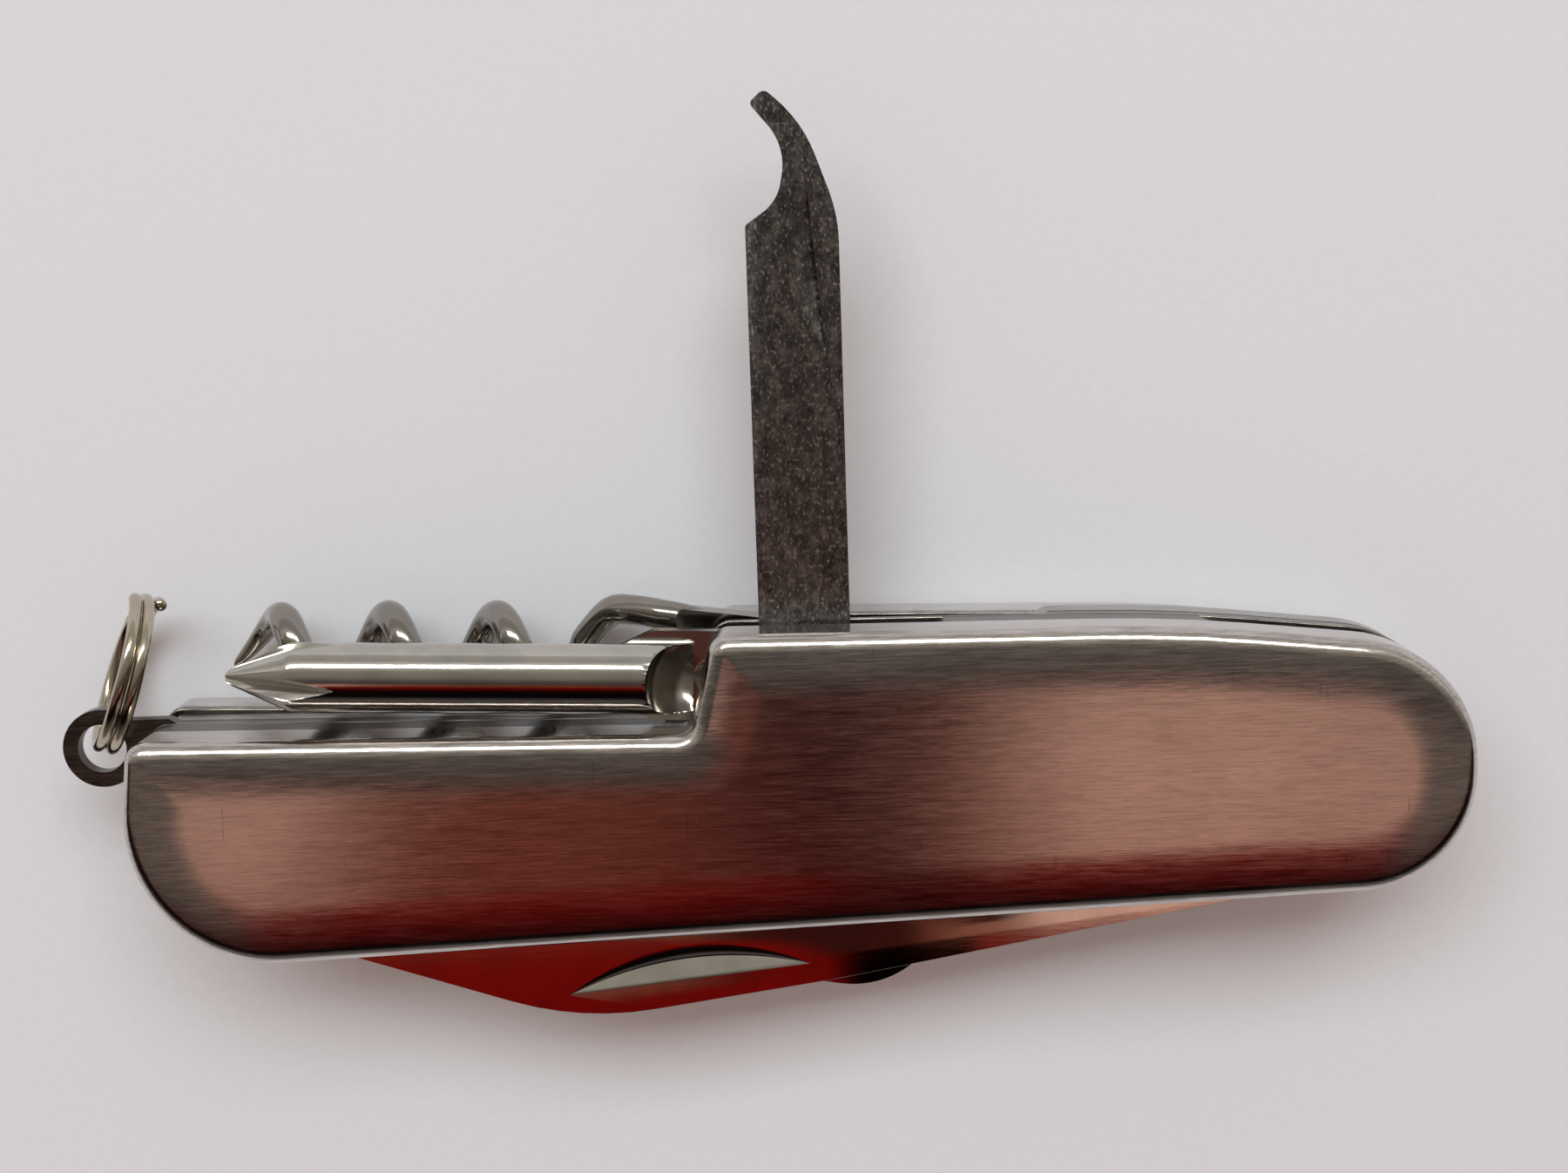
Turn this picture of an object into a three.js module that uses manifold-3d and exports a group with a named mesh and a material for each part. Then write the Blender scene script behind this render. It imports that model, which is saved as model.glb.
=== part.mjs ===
// A pocket multi-tool with a steel handle, lying on its back scale.
// Millimetres. +X runs along the handle from the key-ring end to the blade pivot, +Y points out of the
// handle's back, where the screwdriver, hook and corkscrew fold, and +Z points up through the thickness.
// The origin is on the flat outer face of the back scale, at half of the handle's length.
import * as THREE from "three";
import { mergeVertices } from "three/addons/utils/BufferGeometryUtils.js";
import Module from "manifold-3d";

const wasm = await Module();
wasm.setup();

const degrees = THREE.MathUtils.degToRad;

// ---- driving dimensions -------------------------------------------------------------------------

// Heights of the layers, counted from the back scale's face.
const THICKNESS = 16;
const SCALE_DEPTH = 4.5;
const SCALE_WALL = 0.9;
const SCALE_EDGE = 1.3; // rounding of a scale's outer edge
const LINER = 0.6;
const BACK_LAYER = 2.3; // opener, corkscrew and their spring
const RING_PLATE = 1.2;
const INNER_LINER = 0.5;
const SEAT = 0.02; // between parts that are riveted together
const SLIP = 0.06; // between a tool and the plate beside it

const BACK_RIM = SCALE_DEPTH;
const BACK_LINER_TOP = BACK_RIM + LINER;
const BACK_LAYER_TOP = BACK_LINER_TOP + BACK_LAYER;
const RING_PLATE_TOP = BACK_LAYER_TOP + RING_PLATE;
const INNER_LINER_TOP = RING_PLATE_TOP + INNER_LINER;
const FRONT_RIM = THICKNESS - SCALE_DEPTH;
const FRONT_LINER_TOP = FRONT_RIM + LINER;
const HALF_LAYER = (INNER_LINER_TOP + FRONT_RIM) / 2; // between the hook and the screwdriver tang

// Pin centres in plan, and radii.
const BLADE_PIN = [38, -2.8];
const OPENER_PIN = [-37.8, -4.2];
const BACK_TOOL_PIN = [0.8, 7.1];
const SPRING_PIN = [-13, 1.6];
const PIVOT_RADIUS = 1.25;
const BACK_TOOL_PIN_RADIUS = 1.1;
const SPRING_PIN_RADIUS = 0.9;
const PIN_CLEARANCE = 0.05;
const HEAD = 0.45; // height of a peened pin head, and how far it spreads past the pin
const BUSH_RADIUS = 2.5;

// Handle outline, as corners [x, y, radius].
const HANDLE = [
  [-46.8, -11.29, 10],
  [45.65, -7.96, 8],
  [45.65, 8.17, 8.6],
  [25.5, 10.42, 110],
  [-5.45, 10.78, 1.5],
  [-7.1, 4.08, 1.3],
  [-45, 4.78, 1.5],
];
// The back cover sits a little askew on the front one.
const BACK_TURN = degrees(-0.72);
const BACK_TURN_ABOUT = [-21, 0];

const BLADE_TANG = 4.6;
const OPENER_TANG = 4.2;
const BACK_TOOL_TANG = 3.1;
const BACK_TOOL_TILT = degrees(2.2); // closed back tools lean this much off the handle
const HOOK_WIDTH = 6.24;

const SHAFT_RADIUS = 2.38;
const SHAFT_HEIGHT = 12.75;
const SHAFT_LENGTH = 39.3; // pin to tip
const SHAFT_START = 7.7;
const POINT_LENGTH = 4.3;
const POINT_RADIUS = 0.45;
const FLUTE_LENGTH = 8;
const FLUTE_BAR = 3; // side of the square bar that each flute is cut with
const FLUTE_FLOOR = 0.05; // how far from the axis a flute starts
const FLUTE_TURN = degrees(-12);
const SCOOP_LENGTH = 3.1; // along the shaft, from the tang's face up to the crown of the shaft
const SCOOP_RADIUS = 4.5;

const GRIND_HEIGHT = 6; // of the bevel along the blade's cutting edge
const GRIND_LENGTH = 60;
const GRIND_MIDDLE = 42; // distance from the pin
const EDGE_HEIGHT = -0.9;
const EDGE_THICKNESS = 0.2;

const WIRE_RADIUS = 1.15;
const COIL_RADIUS = 2.6;
const COIL_PITCH = 7.7;
const COIL_TURNS = 2.8; // from the first crest to where the shank leaves
const COIL_HEIGHT = 4.9;
const COIL_SIDE = -0.6; // the coil's axis passes this far beside the pin
const FIRST_CREST = 37.1; // distance from the pin
const TIP_TURN = 0.33;
const TIP_STRETCH = 1.4;

const EYE = [-48.5, 3.05];
const EYE_RADIUS = 2.75;
const EYE_HOLE = 1.7;
const RING_WIRE = 0.43;
const RING_RADIUS = 5.35;
const RING_PITCH = 0.9;
const RING_TURNS = 2;
const RING_LEAN_OUT = degrees(69); // direction from the eye to the ring's centre
const RING_LEAN_OVER = degrees(20);
const RING_DROP = 0.8;

const WHEEL_THICKNESS = 4; // of the grinding wheel that cuts a fingernail groove

const ARC_STEPS = 4;
const ROUND_STEPS = 20;
const WHEEL_STEPS = 120;

// ---- materials ----------------------------------------------------------------------------------

const steel = (color, roughness) => new THREE.MeshStandardMaterial({ color, roughness, metalness: 1 });
const brushed = steel(0x9b8a86, 0.38);
const polished = steel(0xb9b6b0, 0.12);
const tumbled = steel(0x5c5a57, 0.6);
const sheet = steel(0xa8a49d, 0.45);
const ringWire = steel(0x9a9180, 0.2);

// ---- solids -------------------------------------------------------------------------------------

function solidOf(geometry) {
  const bare = geometry.clone();
  bare.deleteAttribute("normal");
  bare.deleteAttribute("uv");
  const merged = mergeVertices(bare, 1e-4);
  return new wasm.Manifold(
    new wasm.Mesh({
      numProp: 3,
      vertProperties: merged.attributes.position.array,
      triVerts: new Uint32Array(merged.index.array),
    }),
  );
}

function meshOf(name, solid, material) {
  const { vertProperties, triVerts } = solid.getMesh();
  const geometry = new THREE.BufferGeometry();
  geometry.setAttribute("position", new THREE.BufferAttribute(new Float32Array(vertProperties), 3));
  geometry.setIndex(new THREE.BufferAttribute(new Uint32Array(triVerts), 1));
  const mesh = new THREE.Mesh(geometry, material);
  mesh.name = name;
  return mesh;
}

// A closed outline through corners [x, y, radius], each rounded by an arc of its radius.
function outline(corners) {
  const shape = new THREE.Shape();
  corners.forEach(([x, y, radius], i) => {
    const corner = new THREE.Vector2(x, y);
    const [lastX, lastY] = corners.at(i - 1);
    const [nextX, nextY] = corners[(i + 1) % corners.length];
    const back = new THREE.Vector2(lastX, lastY).sub(corner).normalize();
    const on = new THREE.Vector2(nextX, nextY).sub(corner).normalize();
    const half = Math.acos(back.dot(on)) / 2;
    const reach = radius / Math.tan(half);
    const start = back.clone().multiplyScalar(reach).add(corner);
    const end = on.clone().multiplyScalar(reach).add(corner);
    const centre = back.clone().add(on).setLength(radius / Math.sin(half)).add(corner);
    const clockwise = back.cross(on) > 0;
    const from = start.sub(centre).angle();
    const to = end.sub(centre).angle();
    shape.absarc(centre.x, centre.y, radius, from, to, clockwise);
  });
  return shape;
}

// The same corners moved inwards; a corner that bulges loses radius and a hollow one gains it.
function inset(corners, distance) {
  const edges = corners.map(([x, y], i) => {
    const [nextX, nextY] = corners[(i + 1) % corners.length];
    const along = new THREE.Vector2(nextX - x, nextY - y).normalize();
    const start = new THREE.Vector2(x - along.y * distance, y + along.x * distance);
    return { start, along };
  });
  return corners.map(([, , radius], i) => {
    const last = edges.at(i - 1);
    const next = edges[i];
    const turn = last.along.cross(next.along);
    const gap = next.start.clone().sub(last.start);
    const corner = last.along.clone().multiplyScalar(gap.cross(next.along) / turn).add(last.start);
    const rounded = turn > 0 ? Math.max(radius - distance, 0.1) : radius + distance;
    return [corner.x, corner.y, rounded];
  });
}

function turned(corners, angle, [aboutX, aboutY]) {
  const about = new THREE.Vector2(aboutX, aboutY);
  return corners.map(([x, y, radius]) => {
    const corner = new THREE.Vector2(x, y).rotateAround(about, angle);
    return [corner.x, corner.y, radius];
  });
}

function plate(corners, low, high) {
  const settings = { depth: high - low, bevelEnabled: false, curveSegments: ARC_STEPS };
  return solidOf(new THREE.ExtrudeGeometry(outline(corners), settings).translate(0, 0, low));
}

function post(radius, low, high, [x, y] = [0, 0]) {
  const cylinder = new THREE.CylinderGeometry(radius, radius, high - low, ROUND_STEPS);
  return solidOf(cylinder.rotateX(Math.PI / 2).translate(x, y, (low + high) / 2));
}

function block(sizeX, sizeY, sizeZ, place = (geometry) => geometry) {
  return solidOf(place(new THREE.BoxGeometry(sizeX, sizeY, sizeZ)));
}

// Round wire along a curve, its radius given at each place from 0 to 1.
function wire(curve, radiusAt, steps, sides) {
  const { normals, binormals } = curve.computeFrenetFrames(steps, false);
  const points = [];
  for (let step = 0; step <= steps; step += 1) {
    const centre = curve.getPointAt(step / steps);
    for (let side = 0; side < sides; side += 1) {
      const angle = (2 * Math.PI * side) / sides;
      const out = normals[step].clone().multiplyScalar(Math.cos(angle));
      out.addScaledVector(binormals[step], Math.sin(angle));
      points.push(centre.clone().addScaledVector(out, radiusAt(step / steps)));
    }
  }
  const faces = [];
  for (let side = 0; side < sides; side += 1) {
    const next = (side + 1) % sides;
    for (let step = 0; step < steps; step += 1) {
      const low = step * sides;
      const high = low + sides;
      faces.push(low + side, low + next, high + next);
      faces.push(low + side, high + next, high + side);
    }
    if (side > 0 && next > 0) {
      const last = steps * sides;
      faces.push(0, next, side);
      faces.push(last, last + side, last + next);
    }
  }
  const geometry = new THREE.BufferGeometry().setFromPoints(points);
  geometry.setIndex(faces);
  return solidOf(geometry);
}

// ---- handle -------------------------------------------------------------------------------------

const everyPin = [
  [OPENER_PIN, PIVOT_RADIUS],
  [BLADE_PIN, PIVOT_RADIUS],
  [BACK_TOOL_PIN, BACK_TOOL_PIN_RADIUS],
  [SPRING_PIN, SPRING_PIN_RADIUS],
];

function drilled(solid, pins = everyPin) {
  return pins.reduce(
    (left, [place, radius]) => left.subtract(post(radius + PIN_CLEARANCE, -1, THICKNESS + 1, place)),
    solid,
  );
}

// A pressed shell with its rounded face at height 0 and its open rim at SCALE_DEPTH.
function scaleShell(corners) {
  const settings = {
    depth: SCALE_DEPTH,
    bevelThickness: SCALE_EDGE,
    bevelSize: SCALE_EDGE,
    bevelOffset: -SCALE_EDGE,
    bevelSegments: 3,
    curveSegments: 6,
  };
  const body = new THREE.ExtrudeGeometry(outline(corners), settings).translate(0, 0, SCALE_EDGE);
  const span = 200;
  const reach = block(span, span, SCALE_DEPTH, (box) => box.translate(0, 0, SCALE_DEPTH / 2));
  const hollow = plate(inset(corners, SCALE_WALL), SCALE_WALL, SCALE_DEPTH + 1);
  return solidOf(body).intersect(reach).subtract(hollow);
}

function frontScale() {
  // Mirrored through its own middle plane, so the rounded face looks up.
  const mirrored = HANDLE.map(([x, y, radius]) => [x, -y, radius]).reverse();
  const mesh = meshOf("front_scale", scaleShell(mirrored), brushed);
  mesh.rotation.x = Math.PI;
  mesh.position.z = THICKNESS;
  return mesh;
}

const backCorners = turned(HANDLE, BACK_TURN, BACK_TURN_ABOUT);

function backScale() {
  return meshOf("back_scale", scaleShell(backCorners), brushed);
}

function frontLiner() {
  const corners = inset(HANDLE, SCALE_WALL + 0.1);
  return meshOf("front_liner", drilled(plate(corners, FRONT_RIM + SEAT, FRONT_LINER_TOP)), sheet);
}

function innerLiner() {
  const liner = plate(inset(HANDLE, 0.04), RING_PLATE_TOP + SEAT, INNER_LINER_TOP);
  return meshOf("inner_liner", drilled(liner), sheet);
}

function backLiner() {
  const liner = plate(inset(backCorners, 0.04), BACK_RIM + SEAT, BACK_LINER_TOP);
  return meshOf("back_liner", drilled(liner), sheet);
}

// The dip in a spring's back, under the tangs of the folded back tools. It ramps up to rampEnd.
function tangDip(rampEnd) {
  const corners = [
    [-9, 13, 0.1],
    [-9, 3.85, 0.1],
    [-6, 3.7, 1],
    [5.2, 3.7, 1.5],
    [rampEnd, 10.6, 0.1],
    [rampEnd, 13, 0.1],
  ];
  return plate(corners, 0, THICKNESS);
}

const FRONT_DIP_END = 10.4;
const BACK_DIP_END = 18.2;

function keyRingPlate() {
  const low = BACK_LAYER_TOP + SEAT;
  const arm = [
    [-47, 0.9, 0.3],
    [-41, 0.9, 0.3],
    [-41, 3.4, 0.3],
    [-43.7, 5, 0.3],
    [-47.6, 5, 0.3],
  ];
  const body = plate(inset(HANDLE, 0.12), low, RING_PLATE_TOP)
    .subtract(tangDip(BACK_DIP_END))
    .add(plate(arm, low, RING_PLATE_TOP))
    .add(post(EYE_RADIUS, low, RING_PLATE_TOP, EYE))
    .subtract(post(EYE_HOLE, 0, THICKNESS, EYE));
  return meshOf("key_ring_plate", drilled(body), sheet);
}

// The front spring is held at the key-ring end, and its free end bears on the blade's tang.
function frontSpring() {
  const low = INNER_LINER_TOP + SEAT;
  const high = FRONT_RIM - SEAT;
  const bar = [
    [-48, 8, 0.1],
    [-48, -4, 0.1],
    [-41, -7.4, 1.5],
    [-34.4, -6.6, 1.5],
    [-33.2, 0.2, 2],
    [6, -0.2, 12],
    [30, 1.8, 8],
    [41, 1.8, 0.6],
    [41, 7.1, 1],
    [27, 10.1, 8],
    [24, 13, 0.1],
    [-10, 13, 0.1],
  ];
  const body = plate(inset(HANDLE, 0.08), low, high)
    .intersect(plate(bar, low - 1, high + 1))
    .subtract(tangDip(FRONT_DIP_END));
  return meshOf("front_spring", drilled(body), sheet);
}

// The back spring is held at the blade end, and its free end bears on the opener's tang.
function backSpring() {
  const low = BACK_LINER_TOP + SEAT;
  const high = BACK_LAYER_TOP;
  const bar = [
    [-44, 8, 0.1],
    [-43.6, 3.6, 2],
    [-41, 0.25, 0.6],
    [-32.6, 0.25, 3],
    [-30, 0, 3],
    [8, 0, 12],
    [30, -0.6, 4],
    [31.6, -7, 2],
    [42, -8, 3],
    [48, -4, 0.1],
    [48, 13, 0.1],
    [-30, 13, 0.1],
  ];
  const body = plate(inset(HANDLE, 0.1), low, high)
    .intersect(plate(bar, low - 1, high + 1))
    .subtract(tangDip(BACK_DIP_END));
  return meshOf("back_spring", drilled(body), sheet);
}

// ---- pins ---------------------------------------------------------------------------------------

const SHELL_GAP = 0.1;

function plainPin(name, radius, place) {
  return meshOf(name, post(radius, SCALE_WALL + SHELL_GAP, THICKNESS - SCALE_WALL - SHELL_GAP, place), sheet);
}

// A pin peened over on both outer liners.
function headedPin(name, radius, place) {
  const frontFace = FRONT_LINER_TOP + SEAT;
  const backFace = BACK_RIM;
  const pin = post(radius, backFace - HEAD, frontFace + HEAD, place)
    .add(post(radius + HEAD, frontFace, frontFace + HEAD, place))
    .add(post(radius + HEAD, backFace - HEAD, backFace, place));
  return meshOf(name, pin, sheet);
}

// A bush on a pivot pin's end, which backs the hollow scale.
function bush(name, low, high, place) {
  const ring = post(BUSH_RADIUS, low, high, place);
  return meshOf(name, ring.subtract(post(PIVOT_RADIUS + PIN_CLEARANCE, low - 1, high + 1, place)), sheet);
}

function pinsAndBushes() {
  const frontBush = [FRONT_LINER_TOP + SEAT, THICKNESS - SCALE_WALL - SHELL_GAP];
  const backBush = [SCALE_WALL + SHELL_GAP, BACK_RIM - SEAT];
  return [
    plainPin("blade_pivot_pin", PIVOT_RADIUS, BLADE_PIN),
    plainPin("opener_pivot_pin", PIVOT_RADIUS, OPENER_PIN),
    headedPin("back_tool_pin", BACK_TOOL_PIN_RADIUS, BACK_TOOL_PIN),
    headedPin("spring_pin", SPRING_PIN_RADIUS, SPRING_PIN),
    bush("blade_pin_bush_front", ...frontBush, BLADE_PIN),
    bush("blade_pin_bush_back", ...backBush, BLADE_PIN),
    bush("opener_pin_bush_front", ...frontBush, OPENER_PIN),
    bush("opener_pin_bush_back", ...backBush, OPENER_PIN),
  ];
}

// ---- tools: each is drawn with its pin at the origin and its tip towards +X -----------------------

function placed(mesh, [x, y], angle) {
  mesh.position.set(x, y, 0);
  mesh.rotation.z = angle;
  return mesh;
}

// A fingernail groove, as a wheel with a flat face and a conical flank cuts it. The face leaves a wall
// that slopes down from the straight side, and the flank a floor that rises to the curved side.
function nailGroove(length, width, depth, wallSlope, place) {
  const wallWidth = depth / Math.sin(wallSlope);
  const radius = (length ** 2 / 4 + wallWidth ** 2) / (2 * wallWidth);
  const floorSlope = Math.atan2(depth, width - depth / Math.tan(wallSlope));
  const spread = WHEEL_THICKNESS * Math.tan(Math.PI / 2 - wallSlope - floorSlope);
  const wheel = new THREE.CylinderGeometry(radius + spread, radius, WHEEL_THICKNESS, WHEEL_STEPS);
  wheel.translate(0, WHEEL_THICKNESS / 2, radius - wallWidth).rotateX(Math.PI / 2 - wallSlope);
  return solidOf(place(wheel));
}

function mainBlade() {
  const low = INNER_LINER_TOP + SLIP;
  const high = FRONT_RIM - SLIP;
  const thick = high - low;
  const profile = [
    [4.6, 1, 0.5],
    [6.3, 6.5, 1],
    [35.8, 11.6, 100],
    [53.6, 14.1, 22],
    [75.3, 6.9, 0.4],
    [61, -0.9, 30],
    [8, -0.6, 1],
    [4.6, -3, 0.5],
  ];
  const root = [
    [1, -1, 0.1],
    [7, -1, 0.1],
    [7, 3, 0.1],
    [1, 3, 0.1],
  ];
  const middle = (low + high) / 2;
  const grind = Math.atan2((thick - EDGE_THICKNESS) / 2, GRIND_HEIGHT);
  // The block that grinds one side away, its lower corner on the cutting edge.
  const bevel = (side) =>
    block(GRIND_LENGTH, 3 * GRIND_HEIGHT, thick, (box) =>
      box
        .translate(0, -1.5 * GRIND_HEIGHT, (side * thick) / 2)
        .rotateX(side * grind)
        .translate(GRIND_MIDDLE, EDGE_HEIGHT + GRIND_HEIGHT, middle + (side * thick) / 2),
    );
  const groove = nailGroove(17, 2.5, 0.65, degrees(26), (wheel) =>
    wheel.rotateZ(degrees(186)).translate(46, 11.3, high),
  );
  const body = plate(profile, low, high)
    .add(post(BLADE_TANG, low, high))
    .add(plate(root, low, high))
    .subtract(bevel(1))
    .subtract(bevel(-1))
    .subtract(groove)
    .subtract(post(PIVOT_RADIUS + PIN_CLEARANCE, 0, THICKNESS));
  return placed(meshOf("main_blade", body, polished), BLADE_PIN, Math.PI);
}

function bottleOpener() {
  const low = BACK_LINER_TOP + SLIP;
  const high = BACK_LAYER_TOP - SLIP;
  const profile = [
    [1, 3.4, 1],
    [24, 1.6, 6],
    [28.5, 1.6, 1],
    [29.5, -3.6, 1.6],
    [35.4, -4.6, 2.4],
    [36.2, 0.6, 1],
    [43, -0.6, 2.5],
    [49.5, -7.6, 0.6],
    [43.2, -12.35, 6.5],
    [36, -11.2, 8],
    [17.5, -4.7, 8],
    [4.6, -4.2, 1],
    [1, -2, 0.5],
  ];
  const body = plate(profile, low, high)
    .add(post(OPENER_TANG, low, high))
    .subtract(post(PIVOT_RADIUS + PIN_CLEARANCE, 0, THICKNESS));
  return placed(meshOf("bottle_opener", body, polished), OPENER_PIN, 0);
}

function hookTool() {
  const low = INNER_LINER_TOP + SLIP;
  const high = HALF_LAYER - SLIP / 2;
  const half = HOOK_WIDTH / 2;
  const profile = [
    [0, -half, 0.1],
    [31, -half, 10],
    [37.2, -0.9, 9],
    [39.4, 1.6, 0.5],
    [38.5, 2.6, 0.3],
    [35.6, 0.2, 4],
    [32, 0.9, 3],
    [30.5, half, 0.4],
    [0, half, 0.1],
  ];
  const groove = nailGroove(11.8, 1.7, 0.5, degrees(75), (wheel) =>
    wheel.rotateZ(degrees(5)).translate(27.6, -1.55, high),
  );
  const body = plate(profile, low, high)
    .add(post(BACK_TOOL_TANG, low, high))
    .subtract(groove)
    .subtract(post(BACK_TOOL_PIN_RADIUS + PIN_CLEARANCE, 0, THICKNESS));
  return placed(meshOf("hook_tool", body, tumbled), BACK_TOOL_PIN, Math.PI / 2);
}

function phillipsDriver() {
  const low = HALF_LAYER + SLIP / 2;
  const high = FRONT_RIM - SLIP;
  const barrel = SHAFT_LENGTH - POINT_LENGTH - SHAFT_START;
  const profile = [
    new THREE.Vector2(0, 0),
    new THREE.Vector2(SHAFT_RADIUS, 0),
    new THREE.Vector2(SHAFT_RADIUS, barrel),
    new THREE.Vector2(POINT_RADIUS, barrel + POINT_LENGTH),
    new THREE.Vector2(0, barrel + POINT_LENGTH),
  ];
  const shaft = new THREE.LatheGeometry(profile, ROUND_STEPS);
  shaft.rotateZ(-Math.PI / 2).translate(SHAFT_START, 0, SHAFT_HEIGHT);
  const tang = plate(
    [
      [0, -BACK_TOOL_TANG, 0.1],
      [10.5, -BACK_TOOL_TANG, 1],
      [14, -1.4, 1],
      [14, 1.4, 1],
      [10.5, BACK_TOOL_TANG, 1],
      [0, BACK_TOOL_TANG, 0.1],
    ],
    low,
    high,
  );
  const foot = new THREE.Vector2(SHAFT_START, high);
  const crown = new THREE.Vector2(SHAFT_START + SCOOP_LENGTH, SHAFT_HEIGHT + SHAFT_RADIUS);
  const chord = crown.clone().sub(foot);
  const rise = Math.sqrt(SCOOP_RADIUS ** 2 - chord.lengthSq() / 4);
  const away = new THREE.Vector2(-chord.y, chord.x).setLength(rise);
  const centre = foot.clone().add(crown).divideScalar(2).add(away);
  const scoop = new THREE.SphereGeometry(SCOOP_RADIUS, 2 * ROUND_STEPS, ROUND_STEPS);
  scoop.translate(centre.x, 0, centre.y);
  const fluteSlope = Math.atan2(SHAFT_RADIUS, FLUTE_LENGTH);
  const flute = (turn) =>
    block(2 * FLUTE_LENGTH, FLUTE_BAR, FLUTE_BAR, (box) =>
      box
        .rotateX(Math.PI / 4)
        .translate(0, 0, FLUTE_BAR / Math.SQRT2)
        .rotateY(fluteSlope)
        .translate(SHAFT_LENGTH, 0, FLUTE_FLOOR)
        .rotateX(turn)
        .translate(0, 0, SHAFT_HEIGHT),
    );
  const body = [0, 1, 2, 3]
    .reduce((left, quarter) => left.subtract(flute(FLUTE_TURN + (quarter * Math.PI) / 2)), solidOf(shaft))
    .add(tang)
    .add(post(BACK_TOOL_TANG, low, high))
    .subtract(solidOf(scoop))
    .subtract(post(BACK_TOOL_PIN_RADIUS + PIN_CLEARANCE, 0, THICKNESS));
  return placed(meshOf("phillips_driver", body, polished), BACK_TOOL_PIN, Math.PI - BACK_TOOL_TILT);
}

// The coil's centre line, counted in turns from its first crest, right-handed.
function coilPoint(turn) {
  const angle = 2 * Math.PI * turn;
  const stretch = turn < 0 ? TIP_STRETCH * (turn / TIP_TURN) ** 2 : 0;
  return new THREE.Vector3(
    FIRST_CREST - COIL_PITCH * turn + stretch,
    COIL_SIDE - COIL_RADIUS * Math.cos(angle),
    COIL_HEIGHT + COIL_RADIUS * Math.sin(angle),
  );
}

function corkscrew() {
  const low = BACK_LINER_TOP + SLIP;
  const high = BACK_LAYER_TOP - SLIP;
  const layerMiddle = (low + high) / 2;
  const points = [];
  const stepsPerTurn = 12;
  for (let step = -TIP_TURN * stepsPerTurn; step <= COIL_TURNS * stepsPerTurn; step += 1) {
    points.push(coilPoint(step / stepsPerTurn));
  }
  points.push(new THREE.Vector3(13.9, -3.25, 3.5));
  points.push(new THREE.Vector3(12.3, -3.55, 4.7));
  points.push(new THREE.Vector3(10.2, -3.4, 5.8));
  points.push(new THREE.Vector3(8, -3, layerMiddle));
  points.push(new THREE.Vector3(4, -1.8, layerMiddle));
  const tipShare = 0.12;
  const round = (high - low) / 2;
  const radiusAt = (share) => {
    const fullRadius = THREE.MathUtils.lerp(WIRE_RADIUS, round - 0.02, Math.min(1, share * 1.1));
    return share < tipShare ? THREE.MathUtils.lerp(0.2, fullRadius, Math.sqrt(share / tipShare)) : fullRadius;
  };
  const tang = [
    [-1, 2.8, 0.5],
    [-1, -2.8, 0.5],
    [4, -3.5, 3],
    [9, -4.05, 0.5],
    [9, -1.95, 0.5],
    [3.2, 1.4, 3],
  ];
  const body = wire(new THREE.CatmullRomCurve3(points), radiusAt, 88, 8)
    .add(plate(tang, low, high))
    .add(post(BACK_TOOL_TANG, low, high))
    .subtract(post(BACK_TOOL_PIN_RADIUS + PIN_CLEARANCE, 0, THICKNESS));
  return placed(meshOf("corkscrew", body, polished), BACK_TOOL_PIN, Math.PI - degrees(1.67));
}

// ---- split ring ---------------------------------------------------------------------------------

class RingCurve extends THREE.Curve {
  getPoint(share, target = new THREE.Vector3()) {
    const angle = 2 * Math.PI * RING_TURNS * share;
    const rise = RING_PITCH * RING_TURNS * (share - 0.5);
    return target.set(RING_RADIUS * Math.cos(angle), RING_RADIUS * Math.sin(angle), rise);
  }
}

// The ring starts and ends at its far side and passes through the eye at its near side.
function splitRing() {
  const mesh = meshOf("split_ring", wire(new RingCurve(), () => RING_WIRE, 72, 8), ringWire);
  const outward = new THREE.Vector3(Math.cos(RING_LEAN_OUT), Math.sin(RING_LEAN_OUT), 0);
  const upright = new THREE.Vector3(Math.sin(RING_LEAN_OVER), 0, Math.cos(RING_LEAN_OVER));
  upright.addScaledVector(outward, -upright.dot(outward)).normalize();
  const axis = outward.clone().cross(upright);
  mesh.quaternion.setFromRotationMatrix(new THREE.Matrix4().makeBasis(outward, upright, axis));
  const reach = Math.sqrt(RING_RADIUS ** 2 - RING_DROP ** 2);
  const plateMiddle = BACK_LAYER_TOP + RING_PLATE / 2;
  mesh.position.set(EYE[0], EYE[1], plateMiddle).addScaledVector(outward, reach);
  mesh.position.addScaledVector(upright, -RING_DROP);
  return mesh;
}

// ---- assembly -----------------------------------------------------------------------------------

const multiTool = new THREE.Group();
multiTool.add(frontScale(), frontLiner(), frontSpring(), innerLiner(), keyRingPlate());
multiTool.add(backSpring(), backLiner(), backScale(), ...pinsAndBushes());
multiTool.add(mainBlade(), bottleOpener(), phillipsDriver(), hookTool(), corkscrew(), splitRing());

export default multiTool;
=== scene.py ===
"""The looks of a pocket multi-tool: a steel handle with a hook raised and its other tools folded."""
import math

import bmesh
import bpy
from mathutils import Matrix, Vector


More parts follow.
